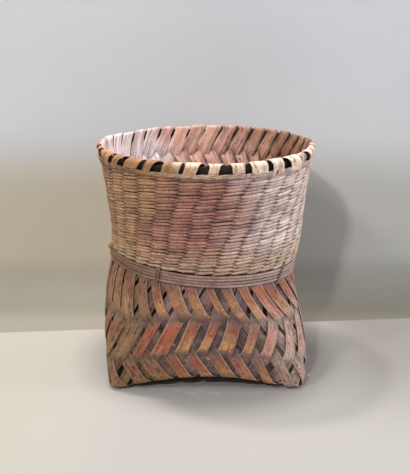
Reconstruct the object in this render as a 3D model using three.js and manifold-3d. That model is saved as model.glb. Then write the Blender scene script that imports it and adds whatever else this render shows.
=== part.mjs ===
// A wicker fish basket. Thirty-six split strips run from rim to rim: they are plaited on the bias
// across a square base, up a bulging body and through a narrow waist into a flaring collar. Fine
// paired weft wraps the collar, four rods bind the waist, and half the strip ends fold over the rim.
// Millimetres, +Z up, origin on the floor under the middle of the base, front facing -Y.

import * as THREE from "three";
import Module from "manifold-3d";

const wasm = await Module();
wasm.setup();

// The vessel, measured on the middle of its plaited wall
const BASE_HALF_SIDE = 84.5;
const BASE_CORNER_RADIUS = 11;
const BASE_ARCH = 11.5; // the middle of a base side stands this far above its corners
const BASE_CROWN = 15; // the middle of the base stands this far above its corners
const BODY_BULGE = 4.2;
const WAIST_RADIUS = 78.8;
const WAIST_HEIGHT = 96.4;
const RIM_RADIUS = 90.7;
const RIM_HEIGHT = 197; // the crest of the folded rim
const FOOT_FLAT = 0.5; // each corner of the base is worn flat by this depth

// How the old basket has settled out of true
const BELLY_DROP = 22; // its body hangs furthest to the left this far below the waist
const BELLY_REACH = 50; // and hangs true this far above and below that
const BELLY_SHIFT = 4.4;
const BELLY_SQUEEZE = 0.012; // the belly is narrower from left to right by this share
const TILT_SLOPE = 0.065; // its waist slopes up to the left
const TILT_REACH = 58; // and all is level this far above and below the waist

// The plaiting, counted in levels: one level is one crossing of two strips up the wall
const STRIPS_PER_SIDE = 9; // strips of each slant that rise from one side of the base
const WAIST_LEVEL = 5.7;
const RIM_LEVEL = 11;
const EDGE_SOFTNESS = 0.35; // levels over which the base turns up into the wall
const ARCH_SHAPE = 1.3; // over 1 gives the arch of a base side flat feet
const ROUNDING_SHAPE = 1.2; // over 1 keeps the body square for longer before it turns round
const FLARE_SHAPE = 1.4; // over 1 keeps the flare of the collar for its upper half
const LEVEL_EASE = 0.25; // levels are this share wider above the waist and closer below the rim

// The strips
const STRIP_WIDTH = 9;
const STRIP_THICKNESS = 0.6;
const STRIP_GAP = 1.15; // clearance between two strips where they cross
const SECTION_TURN = 0.55; // how fast a strip's section turns level on either side of the mat's axis
const SLASH_END_LEVEL = 10.6; // the strips that lean to the right end here, inside the rim fold
const FOLD_LEG = 11; // the folded ends reach this far down outside the collar
const FOLD_STEPS = 4;

// What is wrapped round the wall
const TOUCH_GAP = 0.3; // clearance between pieces that touch
const RING_STEPS = 24;
const ROD_COUNT = 4;
const ROD_DIAMETER = 2.2;
const ROD_SIDES = 5;
const WEFT_THICKNESS = 1.5;
const WEFT_GAP = 0.47; // clearance between one row of the weft and the next
const WEFT_TURNS = 12; // turns of each of the two strands
const WEFT_STEPS = 22; // steps in one turn
const WEFT_SHOULDER = 0.5; // the outer edges of a weft strand are rounded off by this much
const RIM_ROW_COUNT = 3;
const RIM_ROW_DIAMETER = 1.6;
const RIM_ROW_SIDES = 5;
const LASHING_DIAMETER = 1.2;
const LASHING_STEPS = 18;
const LASHING_SIDES = 5;
const LASHING_SQUARENESS = 4; // how far the lashing's loop is a rectangle and not an ellipse
const LEFT_LASHING_PLACE = 1.5; // strip pitches from the front left corner
const RIGHT_LASHING_PLACE = 8.5;
const TIE_PLACE = 31.5;
const TIE_BIGHT = 4; // the slack of the tie stands this far off the rods

// Colours
const STRIP_COLOURS = ["#8f6a4f", "#a57b55", "#7d5f52", "#98704f", "#86635a"];
const WEFT_COLOUR = "#9b7b62";
const ROD_COLOUR = "#8a6a55";
const RIM_ROW_COLOUR = "#b39a78";
const LASHING_COLOUR = "#5f4a3b";
const STRIP_ROUGHNESS = 0.75;
const ROD_ROUGHNESS = 0.65;

const SIDE_NAMES = ["front", "right", "back", "left"];
const ROUND = STRIPS_PER_SIDE * SIDE_NAMES.length; // one turn round the wall, in strip pitches
const WEAVE_LIFT = STRIP_THICKNESS + STRIP_GAP; // a strip stands this far off the wall's middle
const WALL_FACE = WEAVE_LIFT + STRIP_THICKNESS / 2; // the plaited wall reaches this far out and in
const FOLD_OUTSIDE = WEAVE_LIFT + STRIP_THICKNESS + STRIP_GAP;
const FOLD_RADIUS = (FOLD_OUTSIDE + WEAVE_LIFT) / 2;
const WALL_TOP = RIM_HEIGHT - FOLD_RADIUS - STRIP_THICKNESS / 2;
const STEP = 1e-3; // for slopes worked out from two nearby points

const mix = (from, to, share) => from + (to - from) * share;
const clamp = (value, low, high) => Math.min(high, Math.max(low, value));

// A ramp that is 0 well below zero and the level itself well above it
function softRamp(level) {
  return (level + Math.hypot(level, EDGE_SOFTNESS)) / 2;
}

// A point on a rounded square, by distance round it in strip pitches from the front left corner
function outlinePoint(pitch, halfSide, cornerRadius) {
  const side = Math.floor(pitch / STRIPS_PER_SIDE);
  const along = (pitch / STRIPS_PER_SIDE - side - 0.5) * 2;
  const straight = halfSide - cornerRadius;
  const run = Math.abs(along) * (straight + (cornerRadius * Math.PI) / 4);
  const turn = Math.max(0, run - straight) / cornerRadius;
  const reach = Math.min(run, straight) + cornerRadius * Math.sin(turn);
  const point = new THREE.Vector3(
    Math.sign(along) * reach,
    -(straight + cornerRadius * Math.cos(turn)),
    0,
  );
  return point.applyAxisAngle(new THREE.Vector3(0, 0, 1), (side * Math.PI) / 2);
}

// Height of the base's edge above its corners
function archHeight(pitch) {
  const along = (pitch / STRIPS_PER_SIDE - Math.floor(pitch / STRIPS_PER_SIDE)) * 2 - 1;
  return BASE_ARCH * Math.pow(1 - along * along, ARCH_SHAPE);
}

// The middle of the plaited wall: level 0 is the base's edge, lower levels lie in the base
let footDrop = 0;
function wallPoint(pitch, level) {
  const inside = softRamp(-level);
  const up = softRamp(level);
  const body = Math.min(1, up / WAIST_LEVEL);
  const collar = Math.max(0, up - WAIST_LEVEL) / (RIM_LEVEL - WAIST_LEVEL);
  const edge = archHeight(pitch) - footDrop;
  const scale = 1 - inside / STRIPS_PER_SIDE;
  const flare = (RIM_RADIUS - WAIST_RADIUS) * Math.pow(collar, FLARE_SHAPE);
  const bulge = BODY_BULGE * Math.sin(Math.PI * body);
  const halfSide = mix(BASE_HALF_SIDE, WAIST_RADIUS, body) + bulge + flare;
  const square = 1 - Math.pow(body, ROUNDING_SHAPE);
  const corner = mix(halfSide, BASE_CORNER_RADIUS, square);
  const point = outlinePoint(pitch, halfSide, corner).multiplyScalar(scale);
  const rise = collar + LEVEL_EASE * collar * (1 - collar);
  point.z =
    mix(BASE_CROWN - footDrop, edge, scale * scale) +
    (WAIST_HEIGHT - edge) * body +
    (WALL_TOP - WAIST_HEIGHT) * rise;
  return point;
}

// The level at which the wall reaches a height
function levelAt(height, pitch) {
  const edge = archHeight(pitch) - footDrop;
  if (height <= WAIST_HEIGHT) {
    return (WAIST_LEVEL * (height - edge)) / (WAIST_HEIGHT - edge);
  }
  const rise = (height - WAIST_HEIGHT) / (WALL_TOP - WAIST_HEIGHT);
  const slope = 1 + LEVEL_EASE;
  const collar = (2 * rise) / (slope + Math.sqrt(slope * slope - 4 * LEVEL_EASE * rise));
  return mix(WAIST_LEVEL, RIM_LEVEL, collar);
}

// The wall's outward direction and its direction up the wall
function wallFrame(pitch, level) {
  const along = wallPoint(pitch + STEP, level).sub(wallPoint(pitch - STEP, level));
  const up = wallPoint(pitch, level + STEP).sub(wallPoint(pitch, level - STEP)).normalize();
  const out = along.cross(up).normalize();
  return { out, up };
}

// Where a point of the flat mat lies on the wall. The first quarter of the mat becomes the front
// side and the second the right side; along is counted from the mat's middle and across from its axis.
function matToWall(along, across) {
  const level = Math.abs(along) + across - STRIPS_PER_SIDE;
  const spread = (Math.abs(along) - across) / 2;
  const share = Math.abs(along) / (level + STRIPS_PER_SIDE);
  const onEdge = level > 0 ? STRIPS_PER_SIDE / 2 + spread : STRIPS_PER_SIDE * share;
  const pitch = along >= 0 ? STRIPS_PER_SIDE - onEdge : STRIPS_PER_SIDE + onEdge;
  return { pitch, level };
}

function matPoint(along, across) {
  const { pitch, level } = matToWall(along, across);
  return wallPoint(pitch, level);
}

// The weave: on each pair of levels one slant lies outside, and the pairs take turns
function backslashOutside(level) {
  return Math.abs(Math.floor(level / 2) % 2) === 0;
}

// Lift and tilt of a strip at the whole steps along it. Halfway between crossings a strip either
// stays on its side of the wall, at full lift, or changes sides, tilted like a shingle.
function weaveKey(along, across) {
  const slant = Math.sign(along);
  const level = Math.abs(along) + across - STRIPS_PER_SIDE;
  const below = backslashOutside(level - 0.5);
  const above = backslashOutside(level + 0.5);
  const side = slant * (above ? 1 : -1);
  const swaps = slant === 0 || below !== above;
  const tilt = slant * (above ? -1 : 1) * 2 * WEAVE_LIFT;
  return { along, lift: swaps ? 0 : side * WEAVE_LIFT, tilt: swaps ? tilt : 0 };
}

// Lift of a strip at a crossing
function crossingKey(along, across) {
  const slant = Math.sign(along);
  const level = Math.abs(along) + across - STRIPS_PER_SIDE;
  const side = slant * (backslashOutside(level) ? 1 : -1);
  return { along, lift: side * WEAVE_LIFT, tilt: 0 };
}

// Keys along a strip from the end that leans right to the end that folds over the rim
function weaveKeys(across) {
  const reach = (level) => level + STRIPS_PER_SIDE - across;
  const last = Math.floor(reach(RIM_LEVEL));
  const keys = [];
  for (let along = -last; along <= last; along++) {
    keys.push(weaveKey(along, across));
    if (along === -1 || along === 0) {
      keys.push(crossingKey(along + 0.5, across));
    }
  }
  const first = keys[0];
  keys.unshift({ ...first, along: -reach(SLASH_END_LEVEL) });
  return keys;
}

// Adds keys between the given ones where the strip turns sharply
function refineKeys(keys, across) {
  const refined = [keys[0]];
  for (let k = 1; k < keys.length; k++) {
    const from = keys[k - 1];
    const to = keys[k];
    const middle = Math.abs(from.along + to.along) / 2 + across - STRIPS_PER_SIDE;
    const parts = Math.abs(middle) < 0.6 ? 3 : 1;
    for (let part = 1; part <= parts; part++) {
      const share = part / parts;
      refined.push({
        along: mix(from.along, to.along, share),
        lift: mix(from.lift, to.lift, share),
        tilt: mix(from.tilt, to.tilt, share),
      });
    }
  }
  return refined;
}

// Half the width of a strip in mat units, measured square to the strip on the wall
function halfWidth(along, across, lean) {
  const ahead = matPoint(along + STEP, across).sub(matPoint(along - STEP, across));
  const right = matPoint(along - lean * STEP, across + STEP);
  const left = matPoint(along + lean * STEP, across - STEP);
  const aside = right.sub(left).divideScalar(2 * STEP);
  const square = aside.clone().cross(ahead.normalize()).length();
  return STRIP_WIDTH / 2 / square;
}

// Places across a strip's section: the strips that wrap a foot of the base bend across their width
function placesAcross(across) {
  return across > STRIPS_PER_SIDE - 1 ? [1, 0, -1] : [1, -1];
}

// The outline of a strip, from a rule for its points by place across the width and face
function stripOutline(across, corner) {
  const places = placesAcross(across);
  const inner = places.map((place) => corner(place, -1));
  const outer = places.map((place) => corner(place, 1));
  return [...inner, ...outer.reverse()];
}

// A strip's section at one key
function stripSection(key, across) {
  const lean = clamp(SECTION_TURN * key.along, -1, 1);
  const half = halfWidth(key.along, across, lean);
  return stripOutline(across, (place, face) => {
    const aside = place * half;
    const { pitch, level } = matToWall(key.along - lean * aside, across + aside);
    const { out } = wallFrame(pitch, level);
    const lift = key.lift + key.tilt * aside + (face * STRIP_THICKNESS) / 2;
    return wallPoint(pitch, level).addScaledVector(out, lift);
  });
}

// The end of a strip that folds over the rim and hangs down outside the collar
function foldSections(across) {
  const along = RIM_LEVEL + STRIPS_PER_SIDE - across;
  const half = halfWidth(along, across, 1);
  const { pitch, level } = matToWall(along, across);
  const centre = FOLD_RADIUS - WEAVE_LIFT;
  const section = (angle, drop) =>
    stripOutline(across, (place, face) => {
      const { out, up } = wallFrame(pitch + place * half, level);
      const away = out.clone().multiplyScalar(-Math.cos(angle)).addScaledVector(up, Math.sin(angle));
      return wallPoint(pitch + place * half, level)
        .addScaledVector(out, centre)
        .addScaledVector(up, -drop)
        .addScaledVector(away, FOLD_RADIUS - (face * STRIP_THICKNESS) / 2);
    });
  const sections = [];
  for (let step = 0; step <= FOLD_STEPS; step++) {
    sections.push(section((Math.PI * step) / FOLD_STEPS, 0));
  }
  sections.push(section(Math.PI, FOLD_LEG));
  return sections;
}

// A closed skin over outlines that follow each other, with flat ends unless it runs round to its start.
// crossed says which faces are split along their other diagonal.
function loft(outlines, ring, crossed = () => false) {
  const sides = outlines[0].length;
  const index = [];
  const spans = ring ? outlines.length : outlines.length - 1;
  for (let span = 0; span < spans; span++) {
    const near = span * sides;
    const far = ((span + 1) % outlines.length) * sides;
    for (let side = 0; side < sides; side++) {
      const next = (side + 1) % sides;
      const corners = [near + side, near + next, far + next, far + side];
      const [a, b, c, d] = crossed(span, side) ? [...corners.slice(1), corners[0]] : corners;
      index.push(a, b, c);
      index.push(a, c, d);
    }
  }
  for (let side = 2; side < sides && !ring; side++) {
    const end = (outlines.length - 1) * sides;
    index.push(0, side, side - 1);
    index.push(end, end + side - 1, end + side);
  }
  const geometry = new THREE.BufferGeometry();
  geometry.setFromPoints(outlines.flat());
  geometry.setIndex(index);
  return geometry;
}

function solidOf(geometry) {
  return new wasm.Manifold(
    new wasm.Mesh({
      numProp: 3,
      vertProperties: new Float32Array(geometry.attributes.position.array),
      triVerts: new Uint32Array(geometry.index.array),
    }),
  );
}

function geometryOf(solid) {
  const { numProp, vertProperties, triVerts } = solid.getMesh();
  const geometry = new THREE.BufferGeometry();
  const points = new THREE.InterleavedBuffer(vertProperties, numProp);
  geometry.setAttribute("position", new THREE.InterleavedBufferAttribute(points, 3, 0));
  geometry.setIndex(new THREE.BufferAttribute(triVerts, 1));
  return geometry;
}

// The two faces of a strip are split along the diagonal that bows them away from the strip they cross
function stripGeometry(across) {
  const keys = refineKeys(weaveKeys(across), across);
  const outlines = keys.map((key) => stripSection(key, across));
  const bows = keys.slice(1).map((key, k) => {
    const before = keys[k];
    const lift = before.lift + key.lift;
    const twist = before.tilt - key.tilt;
    return lift * twist < 0;
  });
  const faces = placesAcross(across).length;
  const crossed = (span, side) => {
    const bow = Boolean(bows[span]);
    return side < faces ? bow : !bow;
  };
  return loft([...outlines, ...foldSections(across)], false, crossed);
}

// Lowers the base's edge until the feet reach the worn depth below the floor
const acrosses = Array.from({ length: STRIPS_PER_SIDE }, (_, strip) => strip + 0.5);
const DROP_ROUNDS = 4;
for (let round = 0; round < DROP_ROUNDS; round++) {
  const lows = acrosses.map((across) => {
    const geometry = stripGeometry(across);
    geometry.computeBoundingBox();
    return geometry.boundingBox.min.z;
  });
  footDrop += Math.min(...lows) + FOOT_FLAT;
}

// A strip with the worn foot cut off level with the floor
function wornStrip(across) {
  return geometryOf(solidOf(stripGeometry(across)).trimByPlane([0, 0, 1], 0));
}

// How far a straight piece of strip stands outside the wall where the wall is hollow
function hollow(pitch, level) {
  const below = Math.floor(level - 0.5) + 0.5;
  const chord = wallPoint(pitch, below).lerp(wallPoint(pitch, below + 1), level - below);
  return Math.max(0, chord.sub(wallPoint(pitch, level)).dot(wallFrame(pitch, level).out));
}

// What a ring of straight steps loses to a round wall in the middle of each step
function stepSag(radius, steps) {
  return radius * (1 - Math.cos(Math.PI / steps));
}

// A point that stands off the wall at a height, and the level direction away from the wall there
function standOff(pitch, height, offset) {
  const level = levelAt(height, pitch);
  const outward = wallFrame(pitch, level).out.setZ(0).normalize();
  const point = wallPoint(pitch, level).addScaledVector(outward, offset);
  return { point, outward };
}

// Room that a ring needs between the wall's face and its own middle line
function ringRoom(height, face, steps, half) {
  const places = Array.from({ length: steps }, (_, step) => (ROUND * step) / steps);
  const hollows = places.map((pitch) => hollow(pitch, levelAt(height, pitch)));
  const radius = Math.max(WAIST_RADIUS, RIM_RADIUS);
  return face + TOUCH_GAP + Math.max(...hollows) + stepSag(radius, steps) + half;
}

// A round rod bent to a closed ring at one height
function ringGeometry(height, face, diameter, sides) {
  const room = ringRoom(height, face, RING_STEPS, diameter / 2);
  const outlines = [];
  for (let step = 0; step < RING_STEPS; step++) {
    const pitch = (ROUND * step) / RING_STEPS;
    const { point: middle, outward } = standOff(pitch, height, room);
    const outline = [];
    for (let side = 0; side < sides; side++) {
      const angle = (2 * Math.PI * side) / sides;
      const point = middle.clone().addScaledVector(outward, (Math.cos(angle) * diameter) / 2);
      point.z -= (Math.sin(angle) * diameter) / 2;
      outline.push(point);
    }
    outlines.push(outline);
  }
  return loft(outlines, true);
}

// Heights of the wrapped pieces, from the waist up
const ROD_PITCH = ROD_DIAMETER + TOUCH_GAP;
const rodHeights = Array.from(
  { length: ROD_COUNT },
  (_, rod) => WAIST_HEIGHT + (rod - (ROD_COUNT - 1) / 2) * ROD_PITCH,
);
const LOWER_HOLE_LEVEL = Math.round(WAIST_LEVEL) - 1;
const holeHeight = (pitch, level) => wallPoint(pitch, level).z;
const LASHING_TOP = holeHeight(0, LOWER_HOLE_LEVEL + 1) + LASHING_DIAMETER / 2;
const WEFT_BOTTOM = LASHING_TOP + TOUCH_GAP;
const rimFrame = wallFrame(0, RIM_LEVEL);
const legTip = wallPoint(0, RIM_LEVEL)
  .addScaledVector(rimFrame.out, FOLD_OUTSIDE)
  .addScaledVector(rimFrame.up, -FOLD_LEG);
const WEFT_TOP = legTip.z - TOUCH_GAP;
const WEFT_ROW = (WEFT_TOP - WEFT_BOTTOM) / (2 * WEFT_TURNS + 1);
const WEFT_HEIGHT = WEFT_ROW - WEFT_GAP;
const rimRowHeights = Array.from(
  { length: RIM_ROW_COUNT },
  (_, row) => legTip.z + RIM_ROW_DIAMETER / 2 + row * (RIM_ROW_DIAMETER + TOUCH_GAP),
);

// One strand of the weft, wound up the collar with a free row between its turns
function weftOutlines(startPitch) {
  const outlines = [];
  for (let step = 0; step <= WEFT_TURNS * WEFT_STEPS; step++) {
    const turn = step / WEFT_STEPS;
    const pitch = startPitch + ROUND * turn;
    const height = WEFT_BOTTOM + WEFT_ROW * (2 * turn + 0.5);
    const level = levelAt(height, pitch);
    const { out, up } = wallFrame(pitch, level);
    const inner = WALL_FACE + TOUCH_GAP + hollow(pitch, level) + stepSag(RIM_RADIUS, WEFT_STEPS);
    const corner = (away, along) =>
      wallPoint(pitch, level).addScaledVector(out, inner + away).addScaledVector(up, along);
    const back = WEFT_HEIGHT / 2;
    const face = back - WEFT_SHOULDER;
    outlines.push([
      corner(0, back),
      corner(WEFT_THICKNESS, face),
      corner(WEFT_THICKNESS, -face),
      corner(0, -back),
    ]);
  }
  return outlines;
}

// The least distance between the points of two windings, leaving out neighbours on the same turn
function leastGap(one, other, skip) {
  let least = Infinity;
  one.forEach((outline, i) => {
    other.forEach((facing, j) => {
      if (Math.abs(i - j) < skip) return;
      for (const point of outline) {
        for (const mate of facing) {
          least = Math.min(least, point.distanceTo(mate));
        }
      }
    });
  });
  return least;
}

// A strand tied round the rods through one hole of the plait below them and one above
function lashingGeometry(place, bight) {
  const low = holeHeight(place, LOWER_HOLE_LEVEL);
  const high = holeHeight(place + 0.5, LOWER_HOLE_LEVEL + 1);
  const room = TOUCH_GAP + LASHING_DIAMETER / 2;
  const rodRooms = rodHeights.map((height) =>
    ringRoom(height, WALL_FACE, RING_STEPS, ROD_DIAMETER),
  );
  const outside = Math.max(...rodRooms) + room + bight;
  const inside = -(WALL_FACE + room);
  const power = 2 / LASHING_SQUARENESS;
  const bend = (value) => Math.sign(value) * Math.pow(Math.abs(value), power);
  const path = (share) => {
    const angle = 2 * Math.PI * share;
    const rise = bend(Math.sin(angle));
    const height = (low + high) / 2 + (rise * (high - low)) / 2;
    const offset = (outside + inside) / 2 + (bend(Math.cos(angle)) * (outside - inside)) / 2;
    const pitch = place + (rise + 1) / 4;
    return standOff(pitch, height, offset).point;
  };
  const outlines = [];
  for (let step = 0; step < LASHING_STEPS; step++) {
    const share = step / LASHING_STEPS;
    const middle = path(share);
    const ahead = path(share + STEP).sub(path(share - STEP)).normalize();
    const beside = new THREE.Vector3(-middle.y, middle.x, 0).normalize();
    beside.addScaledVector(ahead, -beside.dot(ahead)).normalize();
    const across = ahead.clone().cross(beside);
    const outline = [];
    for (let side = 0; side < LASHING_SIDES; side++) {
      const turn = (2 * Math.PI * side) / LASHING_SIDES;
      const away = beside.clone().multiplyScalar(Math.cos(turn)).addScaledVector(across, Math.sin(turn));
      outline.push(middle.clone().addScaledVector(away, LASHING_DIAMETER / 2));
    }
    outlines.push(outline);
  }
  return loft(outlines, true);
}

// 1 at a middle height, easing to 0 at a reach above and below it
function hump(height, middle, reach) {
  const share = Math.min(1, Math.abs(height - middle) / reach);
  return Math.pow(1 - share * share, 2);
}

// Moves a true piece to where it lies in the settled basket
function settle(geometry) {
  const points = geometry.attributes.position;
  for (let k = 0; k < points.count; k++) {
    const point = new THREE.Vector3().fromBufferAttribute(points, k);
    const belly = hump(point.z, WAIST_HEIGHT - BELLY_DROP, BELLY_REACH);
    const tilt = TILT_SLOPE * hump(point.z, WAIST_HEIGHT, TILT_REACH);
    const shifted = point.x * (1 - BELLY_SQUEEZE * belly) - BELLY_SHIFT * belly;
    points.setXYZ(k, shifted, point.y, point.z - tilt * point.x);
  }
  return geometry;
}

// The assembly
const basket = new THREE.Group();
basket.name = "fish_basket";

function addPiece(parent, name, trueGeometry, color, roughness) {
  const geometry = settle(trueGeometry);
  geometry.computeVertexNormals();
  const material = new THREE.MeshStandardMaterial({ color, roughness, metalness: 0 });
  const mesh = new THREE.Mesh(geometry, material);
  mesh.name = name;
  parent.add(mesh);
}

SIDE_NAMES.forEach((side, quarter) => {
  const group = new THREE.Group();
  group.name = "strips_" + side;
  acrosses.forEach((across, strip) => {
    const geometry = wornStrip(across).rotateZ((quarter * Math.PI) / 2);
    const colour = STRIP_COLOURS[(strip * 2 + quarter) % STRIP_COLOURS.length];
    addPiece(group, "strip_" + side + "_" + (strip + 1), geometry, colour, STRIP_ROUGHNESS);
  });
  basket.add(group);
});

rodHeights.forEach((height, rod) => {
  const geometry = ringGeometry(height, WALL_FACE, ROD_DIAMETER, ROD_SIDES);
  addPiece(basket, "waist_rod_" + (rod + 1), geometry, ROD_COLOUR, ROD_ROUGHNESS);
});

const strandA = weftOutlines(0);
const strandB = weftOutlines(ROUND / 2);
console.log("weft strand to itself", leastGap(strandA, strandA, WEFT_STEPS / 2).toFixed(2), "mm");
console.log("weft strand to strand", leastGap(strandA, strandB, 0).toFixed(2), "mm");
addPiece(basket, "weft_strand_a", loft(strandA, false), WEFT_COLOUR, STRIP_ROUGHNESS);
addPiece(basket, "weft_strand_b", loft(strandB, false), WEFT_COLOUR, STRIP_ROUGHNESS);

rimRowHeights.forEach((height, row) => {
  const face = FOLD_OUTSIDE + STRIP_THICKNESS / 2;
  const geometry = ringGeometry(height, face, RIM_ROW_DIAMETER, RIM_ROW_SIDES);
  addPiece(basket, "rim_row_" + (row + 1), geometry, RIM_ROW_COLOUR, STRIP_ROUGHNESS);
});

const ties = [
  ["lashing_left", LEFT_LASHING_PLACE, 0],
  ["lashing_right", RIGHT_LASHING_PLACE, 0],
  ["waist_tie", TIE_PLACE, TIE_BIGHT],
];
ties.forEach(([name, place, bight]) => {
  addPiece(basket, name, lashingGeometry(place, bight), LASHING_COLOUR, ROD_ROUGHNESS);
});

export default basket;
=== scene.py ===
"""Looks of an old plaited fish basket: split strips, fine twined weft, waist rods and a folded rim.

Shapes are worked out in millimetres, and meshes, finishes and stage are in metres. Places on the wall
are counted in strip pitches round the basket and in levels up it, one for each crossing of two strips.
"""

import bpy
import numpy as np
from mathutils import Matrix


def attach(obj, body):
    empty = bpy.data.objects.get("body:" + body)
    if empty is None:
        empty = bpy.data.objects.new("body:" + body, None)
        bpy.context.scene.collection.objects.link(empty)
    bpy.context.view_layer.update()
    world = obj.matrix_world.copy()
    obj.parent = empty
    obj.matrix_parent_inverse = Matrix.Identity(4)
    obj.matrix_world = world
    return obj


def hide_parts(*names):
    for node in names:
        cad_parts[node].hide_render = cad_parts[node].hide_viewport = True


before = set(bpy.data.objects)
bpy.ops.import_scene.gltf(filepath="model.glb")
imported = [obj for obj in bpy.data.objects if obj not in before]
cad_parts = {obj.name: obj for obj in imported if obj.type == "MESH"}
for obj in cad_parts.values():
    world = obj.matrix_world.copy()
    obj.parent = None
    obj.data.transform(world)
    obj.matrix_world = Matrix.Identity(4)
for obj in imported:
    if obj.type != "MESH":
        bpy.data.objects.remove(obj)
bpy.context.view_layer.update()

MM = 0.001
SMALL_STEP = 1e-3  # for slopes, in pitches, levels or mat units
WAVES_PEAK = 1.6
GRAIN_RUN = 1000  # each strand starts somewhere along this length of fibre
GRAIN_SPREAD = 40

# The vessel, measured on the middle of its plaited wall
BASE_HALF_SIDE = 84.5
BASE_CORNER_RADIUS = 6
BASE_ARCH = 11.5  # the middle of a base side stands this far above its corners
BASE_CROWN = 15  # and the middle of the base this far
FOOT_DROP = 0.2
BODY_BULGE = 4.2
WAIST_RADIUS = 79.4
WAIST_HEIGHT = 96.4
RIM_RADIUS = 91.0
WALL_TOP = 193.6
EDGE_SOFTNESS = 0.25  # levels over which the base turns up into the wall
ARCH_SHAPE = 1.3  # over 1 gives flat feet
ROUNDING_SHAPE = 1.2  # over 1 keeps the body square longer
FLARE_SHAPE = 1.4  # over 1 flares the upper half most
LEVEL_EASE = 0.25  # levels are this share wider above the waist and closer below the rim
BELOW_WAIST_SLOPE = 0.18  # how the body widens below the waist

# How the old basket has settled out of true
BELLY_DROP = 22  # the body hangs furthest to the left this far below the waist
BELLY_REACH = 50
BELLY_SHIFT = 4.4
BELLY_SQUEEZE = 0.012
TILT_SLOPE = 0.065  # the waist slopes up to the left
TILT_REACH = 58
FEET_FADE = 22  # over this height the feet come back to true
FEET_DRAWN_IN = 0.03
FEET_DRAWN_OUT = 0.025
WAVERS = [(0.5, 3, 40, 0), (0.35, 5, -28, 1)]  # size, count round the basket, rise and start
WAVER_START = 30  # the wall wavers fully above this height
SWAY = (0.35, 2)  # size and count round the basket, as for the rows and the rods
SWAY_TURN = 0.6
SWAY_START = 60

# The plait
SIDES = ["front", "right", "back", "left"]
PER_SIDE = 9
ROUND = 4 * PER_SIDE
WAIST_LEVEL = 5.7
RIM_LEVEL = 11.0
SLASH_END_LEVEL = 11.08
OPEN_MIDDLE = 5.4  # the plait is open round this pitch, at the front of the body
OPEN_REACH = 1.6
OPEN_FADE = 2.0
SHUT_REACH = 6.0
SHUT_FADE = 2.0
TIGHT_SIDES = 0.18
TIGHT_WIDENING = 0.445
RECESS_WIDENING = 0.5  # a strip of the open plait is wider where it dips under
SIDE_HOLES = 4.5
BAND_SHIFT = 0.4
WIDEST_HALF = 0.45
END_WIDENING = 0.07  # so that the inner ends and the base lie edge to edge
ENDS_SHUT = 2  # levels below the inner ends over which the plait is shut
FOLD_SHUT = 3  # levels below the fold over which it is shut
NECK_SLOPE = 2  # right below the fold the strip comes back to its own width
NECK_START = 0.8
SIDE_FLATTENING = 0.45  # the two layers lie closer together at the sides of the body

# The strips
STRIP_SEED = 100
STRIP_WIDTH = 9.2
STRIP_VARIETY = (0, 0.15, -0.26, 0.26)  # of the width: middle, spread and limits
STRIP_WAVER = (0.08, 3, 9)  # size, count of waves and the longest of them, as for the weft
STRIP_WANDER = (0.1, 3, 14)
STRAIGHT_REACH = 2  # a strip wanders less this near to the mat's axis
STRIP_THICKNESS = 0.95
STRIP_LIFT = 1.25
STRIP_CUP = 0.22
STATIONS_PER_LEVEL = 8
SECTION_POINTS = 14
SECTION_SQUARENESS = 5
SECTION_TURN = 0.55
DEEP_FADE = 0.5  # levels over which the inner end comes out of the painted shade in the rim

# The folded rim
FOLD_RADIUS = 2.9
FOLD_RADIUS_VARIETY = (0, 0.16, -0.3, 0.25)  # middle, spread and limits
FOLD_STEPS = 12
FOLD_LEG = 10.5
LEG_STEPS = 7
FOLD_LEAN = 0.009  # pitches sideways for each millimetre along the fold
FOLD_LEAN_VARIETY = 0.9
FOLD_LEAN_DRIFT = 0.048
FOLD_TUCK = 0.35
FOLD_TAPER = (0.12, 0.22, -0.3, 0.45)
LEVEL_HEIGHT = 15.0

# The weft
WEFT_SEEDS = {"a": 11, "b": 12}
WEFT_ROWS = 29
WEFT_COLUMNS = 36
WEFT_LEAN = 0.048  # columns that a dash moves on with each row
WEFT_LEAN_DRIFT = 0.032
WEFT_BOTTOM = 101.7
WEFT_TOP = 183.2
WEFT_HEIGHT = 2.8
WEFT_PINCH = 0.45  # share of the height that is left where the strands cross
WEFT_SWELL = (0.2, 4, 11)
WEFT_DEPTH = 1.25
WEFT_SWING = 0.75
WEFT_CROSSING = 0.55
WEFT_STEPS = 9
WEFT_SIDES = 7
WEFT_FLATNESS = 1.6
WEFT_UNEVEN = (0.08, 4, 7.3)  # in columns, for the ends of the dashes
WEFT_UNEVEN_SEED = 77
WEFT_SAG = (0.35, 4, 9)
WEFT_SAGS = 7  # places in a round at which a row sags
WEFT_JITTER = (0.25, 3, 5)
WEFT_STAND_OFF = 3.0
WEFT_STRAY = (0.18, 3, 7)
SCATTER_STEP = 12.9898
SCATTER_SIZE = 43758.5453

# The rows below the rim
RIM_ROW_SEED = 500
RIM_ROW_HEIGHTS = [184.1, 185.6, 187.1]
RIM_ROW_TWISTS = 61
RIM_ROW_STEPS = 720
RIM_ROW_STAND_OFF = 4.4
RIM_ROW_HEIGHT = 1.1
RIM_ROW_DEPTH = 1.0
RIM_ROW_CLIMB = 0.5  # up and down, by the twist
RIM_ROW_SWING = 0.35  # out and in, by the twist
RIM_ROW_SAG = (0.25, 3)
RIM_ROW_STRAY = (0.1, 5)

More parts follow.
